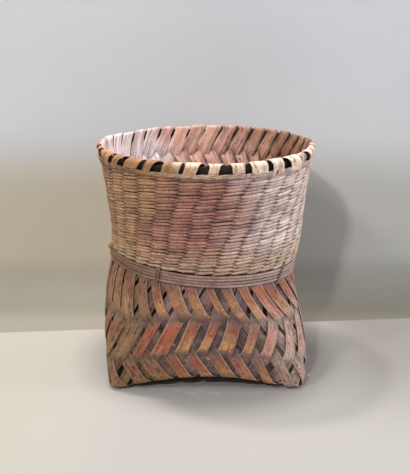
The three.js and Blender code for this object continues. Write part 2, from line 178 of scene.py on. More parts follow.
# The rods and the ties
ROD_SEED = 700
ROD_HEIGHTS = [92.3, 94.9, 97.4, 99.9]
ROD_DIAMETER = 2.3
ROD_SWELL = (0.05, 4)
ROD_STEPS = 240
ROD_SIDES = 10
ROD_STAND_OFF = 3.2
ROD_SAG = (0.2, 2)
ROD_RIPPLE = (0.12, 7)
ROD_STRAY = (0.2, 3)
ANY_TURN = 6  # a wave starts anywhere in about a whole turn
TIE_DIAMETER = 2.1
TIE_SPACING = 1.7
TIE_STRAY = (0.3, 3, 1)
TIE_STEPS = 60
TIE_SIDES = 8
TIE_OUTSIDE = 5.2
TIE_INSIDE = -2.6
# Seed, place round the basket in degrees, lean, bight, rounds, lowest and highest height, and bend
LEFT_TIE = (21, -117, 0.5, 0.0, 3, (87.5, 103.0), 0.6)
RIGHT_TIE = (22, -38, 8.0, 0.0, 1, (88.0, 107.0), 0.6)
LOOSE_TIE = (23, 196, 2.0, 2.0, 2, (99.0, 107.5), 1.0)


# Shapes of the vessel


def held(share):
    """A share kept between 0 and 1."""
    return np.clip(share, 0, 1)


def soft_ramp(level):
    """Zero well below level 0 and the level itself well above it."""
    return (level + np.hypot(level, EDGE_SOFTNESS)) / 2


def turned(x, y, quarter):
    """Points turned about the upright axis by whole quarters."""
    angle = quarter * np.pi / 2
    return x * np.cos(angle) - y * np.sin(angle), x * np.sin(angle) + y * np.cos(angle)


def rounded_square(pitch, half_side, corner):
    """A point by distance round a rounded square: straight along a side, then along the corner's arc."""
    side = np.floor(pitch / PER_SIDE)
    along = 2 * (pitch / PER_SIDE - side) - 1
    straight = half_side - corner
    run = np.abs(along) * (straight + corner * np.pi / 4)
    turn = np.maximum(0, run - straight) / corner
    x = np.sign(along) * (np.minimum(run, straight) + corner * np.sin(turn))
    y = -(straight + corner * np.cos(turn))
    return turned(x, y, side)


def wall_point(pitch, level):
    """The middle of the wall: an arched square base, then a side that bulges, rounds off into the
    waist and flares to the rim. Negative levels run inwards over the crowned base."""
    pitch, level = np.broadcast_arrays(pitch, level)
    inside = soft_ramp(-level)
    rise = soft_ramp(level)
    body = np.minimum(1, rise / WAIST_LEVEL)
    collar = np.maximum(0, rise - WAIST_LEVEL) / (RIM_LEVEL - WAIST_LEVEL)
    along = 2 * (pitch / PER_SIDE - np.floor(pitch / PER_SIDE)) - 1
    edge = BASE_ARCH * (1 - along**2) ** ARCH_SHAPE - FOOT_DROP
    shrink = 1 - inside / PER_SIDE
    flare = (RIM_RADIUS - WAIST_RADIUS) * collar**FLARE_SHAPE
    half_side = BASE_HALF_SIDE + (WAIST_RADIUS - BASE_HALF_SIDE) * body
    half_side = half_side + BODY_BULGE * np.sin(np.pi * body) + flare
    square = 1 - body**ROUNDING_SHAPE
    corner = half_side + (BASE_CORNER_RADIUS - half_side) * square
    x, y = rounded_square(pitch, half_side, corner)
    crown = BASE_CROWN - FOOT_DROP
    z = crown + (edge - crown) * shrink**2 + (WAIST_HEIGHT - edge) * body
    z = z + (WALL_TOP - WAIST_HEIGHT) * (collar + LEVEL_EASE * collar * (1 - collar))
    return np.stack([x * shrink, y * shrink, z], -1)


def unit(vectors):
    """Vectors scaled to length one."""
    return vectors / np.linalg.norm(vectors, axis=-1, keepdims=True)


def wall_out(pitch, level):
    """The wall's outward direction, from the slopes round it and up it."""
    around = wall_point(pitch + SMALL_STEP, level) - wall_point(pitch - SMALL_STEP, level)
    up = wall_point(pitch, level + SMALL_STEP) - wall_point(pitch, level - SMALL_STEP)
    return unit(np.cross(around, up))


def level_at(height):
    """The collar's level at a height above the waist, from the rule for its rise turned round."""
    rise = (height - WAIST_HEIGHT) / (WALL_TOP - WAIST_HEIGHT)
    slope = 1 + LEVEL_EASE  # at the waist
    root = np.sqrt(slope**2 - 4 * LEVEL_EASE * np.maximum(rise, -1))
    return WAIST_LEVEL + (RIM_LEVEL - WAIST_LEVEL) * 2 * rise / (slope + root)


def collar_radius(height):
    """Radius of the wall's middle at a height, carried on below the waist as the body's slope."""
    share = np.maximum(0, level_at(height) - WAIST_LEVEL) / (RIM_LEVEL - WAIST_LEVEL)
    below = np.maximum(0, WAIST_HEIGHT - height)
    flare = (RIM_RADIUS - WAIST_RADIUS) * share**FLARE_SHAPE
    return WAIST_RADIUS + flare + BELOW_WAIST_SLOPE * below


def hump(height, middle, reach):
    """1 at a middle height, easing to 0 at a reach above and below it."""
    share = np.minimum(1, np.abs(height - middle) / reach)
    return (1 - share**2) ** 2


def ripple(angle, start, size, count):
    """A sine of a size that goes up and down a count of times round the basket."""
    return size * np.sin(count * angle + start)


def by_hand(points):
    """Pulls the true shape slightly out of true: the body hangs to the left, the waist slopes up to the
    left, the feet are drawn in from the sides and out to the front, and the wall wavers by slow waves
    round and up it."""
    x, y, z = np.moveaxis(points, -1, 0)
    angle = np.arctan2(y, x)
    belly = hump(z, WAIST_HEIGHT - BELLY_DROP, BELLY_REACH)
    low = np.exp(-np.clip(z, 0, None) / FEET_FADE)
    waver = sum(size * np.sin(count * angle + z / rise + start) for size, count, rise, start in WAVERS)
    waver = waver * held(z / WAVER_START)
    squeeze = 1 - FEET_DRAWN_IN * low - BELLY_SQUEEZE * belly
    moved_x = x * squeeze - BELLY_SHIFT * belly + waver * np.cos(angle)
    moved_y = y * (1 + FEET_DRAWN_OUT * low) + waver * np.sin(angle)
    tilt = TILT_SLOPE * hump(z, WAIST_HEIGHT, TILT_REACH)
    sway = ripple(angle, SWAY_TURN, *SWAY) * held(z / SWAY_START)
    return np.stack([moved_x, moved_y, z - tilt * x + sway], -1)


# Meshes from grids of points


def closed_skin(name, points, values, grain, ring=False):
    """A closed skin over a grid whose rows are sections and whose columns run round each section.
    Four-sided faces join neighbours, and the two ends are capped unless the rows run round to their
    start. values are numbers per point, and grain is a place in the fibre."""
    rows, columns = points.shape[:2]
    index = np.arange(rows * columns).reshape(rows, columns)
    beside = np.roll(index, -1, axis=1)
    quads = np.stack([index, beside, np.roll(beside, -1, axis=0), np.roll(index, -1, axis=0)], -1)
    quads = quads[: rows if ring else rows - 1].reshape(-1, 4)
    places = points.reshape(-1, 3)
    corners = places[quads]
    crossed = np.cross(corners[:, 2] - corners[:, 0], corners[:, 3] - corners[:, 1])
    caps = np.empty((0, columns), int) if ring else np.stack([index[0][::-1], index[-1]])
    if np.sum(corners.mean(1) * crossed) < 0:  # inside out
        quads, caps = quads[:, ::-1], caps[:, ::-1]
    loops = np.concatenate([quads.ravel(), caps.ravel()])
    totals = np.concatenate([np.full(len(quads), 4), np.full(len(caps), columns)])
    mesh = bpy.data.meshes.new(name)
    mesh.vertices.add(len(places))
    mesh.vertices.foreach_set("co", (places * MM).ravel().astype(np.float32))
    mesh.loops.add(len(loops))
    mesh.loops.foreach_set("vertex_index", loops.astype(np.int32))
    mesh.polygons.add(len(totals))
    mesh.polygons.foreach_set("loop_start", (np.cumsum(totals) - totals).astype(np.int32))
    mesh.polygons.foreach_set("use_smooth", np.ones(len(totals), bool))
    mesh.update(calc_edges=True)
    mesh.uv_layers.new(name="grain")
    grain = grain.reshape(-1, 2)[loops].ravel()
    mesh.uv_layers["grain"].uv.foreach_set("vector", grain.astype(np.float32))
    for key, numbers in values.items():
        attribute = mesh.attributes.new(key, "FLOAT", "POINT")
        numbers = np.broadcast_to(numbers, (rows, columns)).ravel()
        attribute.data.foreach_set("value", numbers.astype(np.float32))
    mesh.validate()
    return mesh


def placed(name, data):
    """A new object in the scene."""
    thing = bpy.data.objects.new(name, data)
    bpy.context.scene.collection.objects.link(thing)
    return thing


def add_piece(name, mesh, material, nodes):
    """Puts a mesh in the scene as a piece of the basket that stands for CAD nodes."""
    piece = placed(name, mesh)
    mesh.materials.append(material)
    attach(piece, "root")
    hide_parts(*nodes)


def waves(places, rng, size, count, longest):
    """A smooth seeded wander of a size to either side: a sum of sines of falling length."""
    total = np.zeros_like(places)
    for wave in range(count):
        length = longest / (1 + wave)
        total = total + np.sin(2 * np.pi * (places / length + rng.random())) / (1 + wave)
    return size * (total / WAVES_PEAK)


def varied(rng, middle, spread, low, high):
    """A seeded number about a middle, held between limits."""
    return np.clip(middle + spread * rng.standard_normal(), low, high)


def run_along(path, rng):
    """Length along a path of points, from a seeded start in the fibre."""
    steps = np.linalg.norm(np.diff(path, axis=0), axis=1)
    return np.concatenate([[0], np.cumsum(steps)])[:, None] + GRAIN_RUN * rng.random()


# The strips


def strip_section():
    """A rounded flat section: a superellipse as places across the width and through the thickness."""
    turn = 2 * np.pi * (np.arange(SECTION_POINTS) + 0.5) / SECTION_POINTS
    power = 2 / SECTION_SQUARENESS
    across = np.sign(np.cos(turn)) * np.abs(np.cos(turn)) ** power
    through = np.sign(np.sin(turn)) * np.abs(np.sin(turn)) ** power
    return across, through


def mat_to_wall(along, across):
    """A place on the flat plaited mat as a place on the wall: the mat's quarters fold up into sides."""
    level = np.abs(along) + across - PER_SIDE
    share = np.abs(along) / np.maximum(level + PER_SIDE, 1e-9)
    spread = (np.abs(along) - across) / 2
    on_edge = np.where(level > 0, PER_SIDE / 2 + spread, PER_SIDE * share)
    return PER_SIDE - np.where(along >= 0, 1, -1) * on_edge, level


def outside_sign(along, across):
    """Plus one where a strip lies outside at a crossing: the slants take turns on pairs of levels."""
    level = np.abs(along) + across - PER_SIDE
    backslash = np.floor(level / 2) % 2 == 0
    return np.where(backslash, 1, -1) * np.sign(along)


def weave(along, across):
    """Rise of a strip from -1 inside to 1 outside, and its tilt. Between crossings the rise eases from
    one crossing's side to the next, and where it changes sides the strip tilts like a shingle."""
    before = np.floor(along - 0.5) + 0.5
    share = along - before
    first = outside_sign(before, across)
    last = outside_sign(before + 1, across)
    rise = first + (last - first) * share**2 * (3 - 2 * share)
    tilts = (first != last) & (np.abs(along) > 0.5)
    tilt = np.where(tilts, -np.sign(along) * last, 0) * np.sin(np.pi * share) ** 2
    return rise, tilt


def half_width(along, across, lean, width):
    """Half a strip's width in mat units, measured square to the strip on the wall."""
    front = wall_point(*mat_to_wall(along + SMALL_STEP, across))
    ahead = front - wall_point(*mat_to_wall(along - SMALL_STEP, across))
    right = wall_point(*mat_to_wall(along - lean * SMALL_STEP, across + SMALL_STEP))
    left = wall_point(*mat_to_wall(along + lean * SMALL_STEP, across - SMALL_STEP))
    aside = (right - left) / (2 * SMALL_STEP)
    square = np.linalg.norm(np.cross(aside, unit(ahead)), axis=-1)
    return width / 2 / square


def fold_points(reach, across, quarter, half, rng):
    """The end that folds over the rim: half a turn about a line just outside the wall's top edge, then
    a leg that runs down the collar and narrows. It leans on the way the strip was going, most of all at
    the basket's left."""
    places, through = strip_section()
    pitch, level = mat_to_wall(np.array([reach]), across)
    turn = np.linspace(0, np.pi, FOLD_STEPS + 1)[1:, None]
    drop = np.linspace(0, FOLD_LEG, LEG_STEPS + 1)[1:, None]
    from_front = 2 * np.pi * (pitch + (quarter - 0.5) * PER_SIDE) / ROUND
    lean = FOLD_LEAN * (1 + FOLD_LEAN_VARIETY * rng.standard_normal())
    lean = lean - FOLD_LEAN_DRIFT * np.sin(from_front)
    radius = FOLD_RADIUS * (1 + varied(rng, *FOLD_RADIUS_VARIETY))
    taper = varied(rng, *FOLD_TAPER)
    narrow = 1 - taper * np.sin(turn / 2) ** 2
    centre = radius - STRIP_LIFT
    around = pitch - lean * radius * turn + places * half * narrow
    thick = radius - through * STRIP_THICKNESS / 2
    away = (centre - np.cos(turn) * thick)[..., None]
    above = (np.sin(turn) * thick)[..., None] * np.array([0, 0, 1])
    bend = wall_point(around, level) + wall_out(around, level) * away + above
    around = pitch - lean * (radius * np.pi + drop) + places * half * narrow[-1]
    below = level - drop / LEVEL_HEIGHT
    tuck = 1 - FOLD_TUCK * (drop / FOLD_LEG) ** 2
    away = ((centre + radius) * tuck - through * STRIP_THICKNESS / 2)[..., None]
    leg = wall_point(around, below) + wall_out(around, below) * away
    return np.concatenate([bend, leg])


def tightness(pitch, level):
    """0 where the plait is open, at the front of the body, a little more at its sides, and 1 where it
    is shut: round the back, over the base and up the collar."""
    from_middle = np.abs((pitch - OPEN_MIDDLE + ROUND / 2) % ROUND - ROUND / 2)
    beside = TIGHT_SIDES * held((from_middle - OPEN_REACH) / OPEN_FADE)
    behind = held((from_middle - SHUT_REACH) / SHUT_FADE)
    return np.max([beside, behind, held(level - WAIST_LEVEL), held(-level)], axis=0)


def strip_half(along, middle, lean, width, start, reach, height):
    """Half a strip's width in mat units, capped so that neighbours don't run into each other. The cap
    is wider and always met at the inner end, over the base and below the fold."""
    shut = np.maximum(held(ENDS_SHUT - (along - start)), held(-height))
    to_fold = reach - along
    below_fold = held(FOLD_SHUT - to_fold) * held(NECK_SLOPE * to_fold - NECK_START)
    shut = np.maximum(shut, below_fold)
    widest = WIDEST_HALF + END_WIDENING * shut
    return np.minimum(half_width(along, middle, lean, width * (1 + shut)), widest)


def strip_points(across, quarter, rng):
    """One strip as a grid of sections from its leaning-right end, over the base, to its folded end: the
    weave lifts it off the wall, and its face is cupped. With the grid go the numbers that the finish is
    told from, such as how far each point's face is exposed and how high it is in its band."""
    places, through = strip_section()
    reach = RIM_LEVEL + PER_SIDE - across
    start = -(SLASH_END_LEVEL + PER_SIDE - across)
    along = np.linspace(start, reach, int((reach - start) * STATIONS_PER_LEVEL))[:, None]
    pitch, height = mat_to_wall(along, across)
    tight = tightness(pitch + quarter * PER_SIDE, height)
    rise, tilt = weave(along, across)
    recess = RECESS_WIDENING * held(1 - SIDE_HOLES * tight) * (1 - rise) / 2
    width = STRIP_WIDTH * (1 + TIGHT_WIDENING * tight) * (1 + recess)
    width = width * (1 + varied(rng, *STRIP_VARIETY) + waves(along, rng, *STRIP_WAVER))
    settled = held(np.abs(along) / STRAIGHT_REACH) * held(reach - along)
    middle = across + waves(along, rng, *STRIP_WANDER) * settled
    lean = np.clip(SECTION_TURN * along, -1, 1)
    half = strip_half(along, middle, lean, width, start, reach, height)
    aside = places * half
    pitch, level = mat_to_wall(along - lean * aside, middle + aside)
    cup = STRIP_CUP * (1 - places**2) * np.sign(rise)
    flat = held(tight / TIGHT_SIDES) * held(WAIST_LEVEL - height) * held(height + 1)
    lift = STRIP_LIFT * (1 - SIDE_FLATTENING * flat) * (rise + 2 * tilt * aside)
    lift = lift + cup + through * STRIP_THICKNESS / 2
    wall = wall_point(pitch, level) + wall_out(pitch, level) * lift[..., None]
    fold = fold_points(reach, across, quarter, half[-1], rng)
    on_fold = held(np.arange(len(fold)) / FOLD_STEPS)[:, None]
    blank = np.zeros_like(on_fold)
    values = {
        "exposed": np.concatenate([rise, blank - 1]) * through,
        "tight": np.concatenate([tight, blank]),
        "high": np.concatenate([(level + BAND_SHIFT) % 2 / 2, np.zeros(fold.shape[:2])]),
        "folded": np.concatenate([np.zeros_like(along), on_fold]),
        # how far an inner end lies in the rim's painted shade
        "deep": np.concatenate([held(2 - (along - start) / DEEP_FADE), blank]),
        "across": places,
        "inner": -through,
    }
    return np.concatenate([wall, fold]), values


def make_strip(side, number, material):
    """A strip as a piece, with a tone of its own."""
    quarter = SIDES.index(side)
    rng = np.random.default_rng(STRIP_SEED * quarter + number)
    points, values = strip_points(number - 0.5, quarter, rng)
    x, y = turned(points[..., 0], points[..., 1], quarter)
    points = by_hand(np.stack([x, y, points[..., 2]], -1))
    length = run_along(points.mean(1), rng)
    beside = values["across"] * STRIP_WIDTH / 2 + GRAIN_SPREAD * rng.random()
    values["tone"] = rng.random()
    name = f"split_strip_{side}_{number}"
    mesh = closed_skin(name, points, values, np.stack(np.broadcast_arrays(length, beside), -1))
    add_piece(name, mesh, material, [f"strip_{side}_{number}"])


# The weft, the rods and the ties


def tube(path, beside, across, widths, depths, sides):
    """An elliptic section carried along a path: widths along one direction, depths along the other."""
    turn = 2 * np.pi * np.arange(sides) / sides
    wide = np.cos(turn)[:, None] * np.reshape(widths / 2, (-1, 1, 1))
    deep = np.sin(turn)[:, None] * np.reshape(depths / 2, (-1, 1, 1))
    return path[:, None, :] + beside[:, None, :] * wide + across[:, None, :] * deep


def on_collar(angle, height, away):
    """A point that stands off the collar's wall, the way up and the level way outward there."""
    outward = np.stack([np.cos(angle), np.sin(angle), np.zeros_like(angle)], -1)
    upward = np.broadcast_to(np.array([0, 0, 1.0]), outward.shape)
    path = outward * (collar_radius(height) + away)[:, None] + upward * height[:, None]
    return path, upward, outward


def round_grain(path, sides, rng):
    """A place in the fibre of a round strand: length along it and distance round it."""
    length = run_along(path, rng)
    about = np.abs(np.linspace(-1, 1, sides, endpoint=False)) * 2 + GRAIN_SPREAD * rng.random()
    return np.stack(np.broadcast_arrays(length, about), -1)


def add_strand(name, node, slot, material, rng, strand, values, ring=True):
    """A strand as a piece, where strand is what tube takes."""
    grain = round_grain(strand[0], strand[-1], rng)
    mesh = closed_skin(name, by_hand(tube(*strand)), values, grain, ring)
    add_piece(name, mesh, material, [node])


def scattered(cells, seed):
    """A repeatable number from 0 to 1 for each whole number: what is left of a large sine."""
    return np.sin(cells * SCATTER_STEP + seed) * SCATTER_SIZE % 1


def make_weft(letter, phase, material):
    """One strand of the twined pair that climbs the collar. In each column it lies over its mate or
    behind it, and between columns the two cross: out and in follow a squared-off cosine, and up and
    down follow the sine of the same turn."""
    rng = np.random.default_rng(WEFT_SEEDS[letter])
    turns = np.linspace(0, WEFT_ROWS, WEFT_ROWS * WEFT_COLUMNS * WEFT_STEPS)
    columns = turns * WEFT_COLUMNS
    angle = 2 * np.pi * turns
    lean = WEFT_LEAN + WEFT_LEAN_DRIFT * np.cos(angle)
    uneven = waves(columns, np.random.default_rng(WEFT_UNEVEN_SEED), *WEFT_UNEVEN)
    column = (WEFT_COLUMNS - lean) * turns + phase + uneven
    twist = np.pi * column
    swing = np.tanh(WEFT_FLATNESS * np.cos(twist)) / np.tanh(WEFT_FLATNESS)
    row = (WEFT_TOP - WEFT_BOTTOM) / WEFT_ROWS
    height = WEFT_BOTTOM + row * turns + WEFT_CROSSING * np.sin(twist)
    height = height + waves(turns * WEFT_SAGS, rng, *WEFT_SAG) + waves(columns, rng, *WEFT_JITTER)
    away = WEFT_STAND_OFF + WEFT_SWING * swing + waves(columns, rng, *WEFT_STRAY)
    widths = WEFT_HEIGHT * (WEFT_PINCH + (1 - WEFT_PINCH) * np.abs(swing))
    widths = widths * (1 + waves(columns, rng, *WEFT_SWELL))
    strand = (*on_collar(angle, height, away), widths, WEFT_DEPTH, WEFT_SIDES)
    values = {
        "out": swing[:, None],
        # up the section: painted light on its top and painted shade below, in the finish
        "top": np.cos(2 * np.pi * np.arange(WEFT_SIDES) / WEFT_SIDES),
        "tone": scattered(np.floor(column + 0.5), WEFT_SEEDS[letter])[:, None],
    }
    names = (f"twined_weft_{letter}", f"weft_strand_{letter}")
    add_strand(*names, "weft", material, rng, strand, values, ring=False)


def make_rim_row(number, height, material):
    """A thin row below the rim: one strand that goes round twice and twists about itself, so that the
    two rounds lie as a pair."""
    rng = np.random.default_rng(RIM_ROW_SEED + number)
    turns = np.linspace(0, 2, RIM_ROW_STEPS, endpoint=False)
    angle = 2 * np.pi * turns
    twist = np.pi * (RIM_ROW_TWISTS * turns)
    heights = height + RIM_ROW_CLIMB * np.sin(twist) + ripple(angle, number, *RIM_ROW_SAG)
    away = RIM_ROW_STAND_OFF + RIM_ROW_SWING * np.cos(twist) + ripple(angle, 0, *RIM_ROW_STRAY)
    strand = (*on_collar(angle, heights, away), RIM_ROW_HEIGHT, RIM_ROW_DEPTH, WEFT_SIDES)
    values = {"out": np.cos(twist)[:, None], "tone": rng.random()}
    add_strand(f"rim_twist_{number}", f"rim_row_{number}", "weft", material, rng, strand, values)


def make_rod(number, height, material):
    """A smooth rod bent to a ring that wavers slightly as it goes round, by sines of the angle."""
    rng = np.random.default_rng(ROD_SEED + number)
    angle = np.linspace(0, 2 * np.pi, ROD_STEPS, endpoint=False)
    heights = height + ripple(angle, rng.random() * ANY_TURN, *ROD_SAG)
    heights = heights + ripple(angle, number, *ROD_RIPPLE)
    away = ROD_STAND_OFF + ripple(angle, rng.random() * ANY_TURN, *ROD_STRAY)
    widths = ROD_DIAMETER * (1 + ripple(angle, number, *ROD_SWELL))
    strand = (*on_collar(angle, heights, away), widths, widths, ROD_SIDES)
    values = {"out": 1, "tone": rng.random()}
    add_strand(f"waist_binding_{number}", f"waist_rod_{number}", "rod", material, rng, strand, values)


def bent(wave, bend):
    """A wave with its turns squared off by a bend below 1."""
    return np.sign(wave) * np.abs(wave) ** bend


def make_tie(name, node, material, seed, turn, lean, bight, rounds, span, bend):
    """A strand tied round the rods: rounds of a squared loop, from inside the wall to outside the rods,
    each lying beside the last, with a slack that stands out by bight."""
    rng = np.random.default_rng(seed)
    bottom, top = span
    turns = np.linspace(0, rounds, rounds * TIE_STEPS, endpoint=False)
    loop = 2 * np.pi * turns
    rise = bent(np.sin(loop), bend)
    outside = TIE_OUTSIDE + bight
    heights = (bottom + top) / 2 + rise * (top - bottom) / 2
    away = (outside + TIE_INSIDE) / 2 + bent(np.cos(loop), bend) * (outside - TIE_INSIDE) / 2
    beside = TIE_SPACING * (np.abs((turns / rounds * 2) % 2 - 1) - 0.5) * (rounds - 1)
    sideways = lean * rise / 2 + beside + waves(turns, rng, *TIE_STRAY)
    angles = np.radians(turn) + sideways / WAIST_RADIUS
    path, upward, outward = on_collar(angles, heights, away)
    ahead = unit(np.roll(path, -1, axis=0) - np.roll(path, 1, axis=0))
    aside = np.cross(upward, outward)
    aside = unit(aside - ahead * np.sum(aside * ahead, -1, keepdims=True))
    strand = (path, aside, np.cross(ahead, aside), TIE_DIAMETER, TIE_DIAMETER, TIE_SIDES)
    values = {"out": 1, "tone": rng.random()}
    add_strand(name, node, "lashing", material, rng, strand, values)


# Finishes

# Patterns of noise: stretch, shift, scale, detail, roughness and the span that is kept, if not all
# Split fibre: broad bands, streaks and fine lines that run along the grain
FIBRES = {
    "Band": ((0.02, 0.4, 1), (0, 0, 0), 1.0, 3.0, 0.6, ()),
    "Streak": ((0.045, 0.9, 1), (0, 0, 0), 1.0, 4.0, 0.6, ()),
    "Line": ((0.12, 4.5, 1), (0, 0, 0), 1.0, 3.0, 0.6, ()),
}
# Smoke and handling, told from place alone
SMOKE = {
    "Cloud": ((1, 1, 1), (0, 0, 0), 16.0, 3.0, 0.55, (0.32, 0.68)),
    "Blotch": ((1, 1, 1), (3.1, 1.7, 0.4), 60.0, 4.0, 0.55, (0.35, 0.65)),
    "Stain": ((1, 1, 1), (0.7, 2.3, 5.1), 190.0, 4.0, 0.65, (0.35, 0.65)),
    "Speck": ((1, 1, 1), (0, 0, 0), 700.0, 3.0, 0.7, ()),
}

BUMP_STRENGTH = 0.8
SIDE_REACH = 0.09  # colours drift from left to right between these places, partly painted light
ROUGHNESS_SPAN = (0.3, 0.7, 0.5, 0.8)

# Turns of colour: from left to middle, then from middle to right
BODY_TURNS = (0.18, 0.4, 0.72, 0.96)
INSIDE_TURNS = (0.08, 0.45, 0.5, 0.92)
RIM_TURNS = (0.26, 0.52, 0.6, 1.02)
STRAND_TURNS = (0.1, 0.42, 0.48, 0.88)

# Colours at the basket's left, middle and right; the pale right is partly painted light
BODY_COLOURS = [
    ("#8c6d56", "#906a60", "#c8aca2"),  # near a crossing
    ("#a27c55", "#de9e64", "#d4b09a"),  # low in the band, where a strip stands proud
    ("#935c45", "#a85f44", "#c69a8e"),  # high in the band
    ("#9e7958", "#a88880", "#cfb5a8"),  # where a strip dips under
    ("#866248", "#6a4e4a", "#a0857a"),  # where it is sooty
]
# Inside: pale at the left partly painted light, brown at the right partly painted shade
INSIDE_COLOURS = ("#fff4fa", "#e1b1a0", "#875f45")
RIM_COLOURS = ("#bc8a5f", "#fcd9be", "#fae0d4")

# Spans of the strips' finish: from, to and, where they aren't 0 and 1, the values given there
STRIP_DRIFT = (0, 1, -0.1, 0.1)
FACE_TURN = (-0.3, 0.3)
RED_STRAY = {"Stain": (0, 1, -0.15, 0.15), "tone": (0, 1, -0.3, 0.35)}
GOLD_TO_RED = (0.12, 0.62)
BARE_STRAY = {"Stain": (0, 1, -0.16, 0.16), "tone": (0, 1, -0.2, 0.2)}
ENDS_TO_PROUD = (0.4, 1.1)
SOOT_BLOTCHES = (0.2, 0.9, 0.0, 0.75)
DIP_UNDER = (0.2, -0.6)
RIM_BEHIND = (-0.03, 0.03, 0.0, 0.4)
RIM_START = (0.05, 0.35)
FIBRE_SHADE = {"Line": (0.36, 0.64, 0.82, 1.16), "Streak": (0.3, 0.7, -0.18, 0.18)}
SPECK_SHADE = {"Speck": (0.3, 0.7, -0.26, 0.22), "inside": (0, 1, 1.0, 0.4)}
BAND_SHADE = {"Band": (0.35, 0.65, 0.2, -0.16), "inside": (0, 1, 0.7, 1.0)}
TONE_SHADE = (0, 1, -0.16, 0.14)
# painted shade where a strip dips under, and painted light where it stands proud
PAINTED_DIP_SHADE = (-0.2, 0.75, 0.76, 1.1)
DIP_INSIDE = 0.5
SPLIT_WANDER = (0.3, 0.7, -0.35, 0.35)
SPLIT_WIDTH = (0.04, 0.15, 0.9, 0.0)
SPLIT_PLACES = (0.25, 0.6)
SPLIT_TIGHT = (0.02, 0.16)
SPLIT_INSIDE = (0.3, 0.75, 0.2, 1.0)
SPLIT_DARK = "#2a1c14"
# pale edges: painted highlight, brightest on one edge and at the right, with some wear
WORN_AND_HIGHLIGHT_EDGES = {
    "edge": (0.7, 0.92),
    "Speck": (0.3, 0.5),
    "exposed": (-0.2, 0.6, 0.0, 0.6),
    "share": (0.2, 0.45, 0.1, 1.0),
    "across": (-0.3, 0.3, 0.25, 1.0),
}
WORN_AND_HIGHLIGHT_PALE = "#d6bca8"
BROWN_INSIDE = (0.45, 0.75)
# painted shade in the gaps between the brown strips inside
GAP_EDGE = (0.6, 0.9, 0.0, 0.75)
GAP_BELOW_RIM = (0.3, 0.05)
GAP_PAINTED_SHADE = "#22160f"
# painted shade on the strips' inner ends deep in the rim
RIM_DEPTH = 0.92
RIM_PAINTED_SHADE = "#1c120c"
STRIP_RELIEF = 0.0003

# Coats over a colour: what each is told from, its span and its own colour
# painted shade on a strip where it lies behind the weft
UNDER_WEFT_PAINTED_SHADE = ("height", (0.0985, 0.1005), "#3a2a20")
INSIDE_COATS = [
    ("Band", (0.45, 0.65, 0.0, 0.4), "#b87e6a"),
    ("height", (0.172, 0.2, 0.0, 0.4), "#b0806c"),
    # painted shade: near black low inside the body
    ("height", (0.118, 0.085), "#2e2018"),
    # the base inside dark brown: partly the strips' own brown, partly painted shade
    ("height", (0.036, 0.02), "#4a3426"),
]
RIM_STAINS = ("Stain", (0.3, 1.0, 0.0, 0.3), "#b38a60")
# painted shade on a strand's lower side
LOW_SIDE_PAINTED_SHADE = ("top", (0.1, -0.9, 0.0, 0.14), "#6a4a58")

# Looks of the strands: colours at the left, middle and right, paler at the right partly as painted light,
# how strong the painted shade is where a strand dives between columns, how warm some dashes are, and how
# much the lowest rows yellow
WEFT_LOOK = (("#c3966e", "#b98270", "#ffe8e0"), 0.62, 0.4, 0.6)
RIM_ROW_LOOK = (("#b88c64", "#f4d2b0", "#f8e2d4"), 0.3, 0.3, 0.0)
ROD_LOOK = (("#8d6e54", "#ab8c80", "#c8b2aa"), 0.0, 0.0, 0.0)
BARK_LOOK = (("#8a6c54", "#80604e", "#8f7468"), 0.0, 0.0, 0.0)
STRAND_STAINED_AND_SHADED = ("#8a6048", "#79494c", "#b495a0")
STRAND_WARM = ("#b98c60", "#bb7a58", "#ebcfb6")

# Spans of the strands' finish
STRAND_DRIFT = (0, 1, -0.05, 0.05)
HUE_REPEATS = 3.7
WARM_HUES = (0.5, 1.0)
STAIN_TONE = 0.75
STAIN_BLOTCH = 0.4
# stains gather towards the ends of the dashes, partly as painted shade where they dive
PAINTED_SHADE_AT_ENDS = (0.95, 0.3, 0.0, 0.2)
STRAND_STAIN_AND_SHADE_SPAN = (0.4, 1.2, 0.0, 0.75)
FOOT_HEIGHTS = (0.128, 0.104)
FOOT_YELLOW = "#cdb290"
LIGHT_REPEATS = 7.3
STRAND_SHADE = {
    "light": (0, 1, 0.83, 1.1),
    "Streak": (0.3, 0.7, -0.16, 0.16),
    "Speck": (0.3, 0.7, -0.2, 0.2),
    "Stain": (0, 1, 0.1, -0.12),
    # top: painted light on a strand's upper side and painted shade on its lower side
    "top": (-0.9, 0.9, -0.1, 0.1),
}
GLINTS = {"Speck": (0.54, 0.68, 0.0, 0.5), "top": (-0.2, 0.9)}
GLINT_PALE = "#f2ddd4"
# painted shade where a strand dives between columns, weaker at the right
DIVE_SPAN = (0.35, -0.5)
DIVE_RIGHT = (0.72, 0.98, 1.0, 0.5)
STRAND_RELIEF = 0.0002


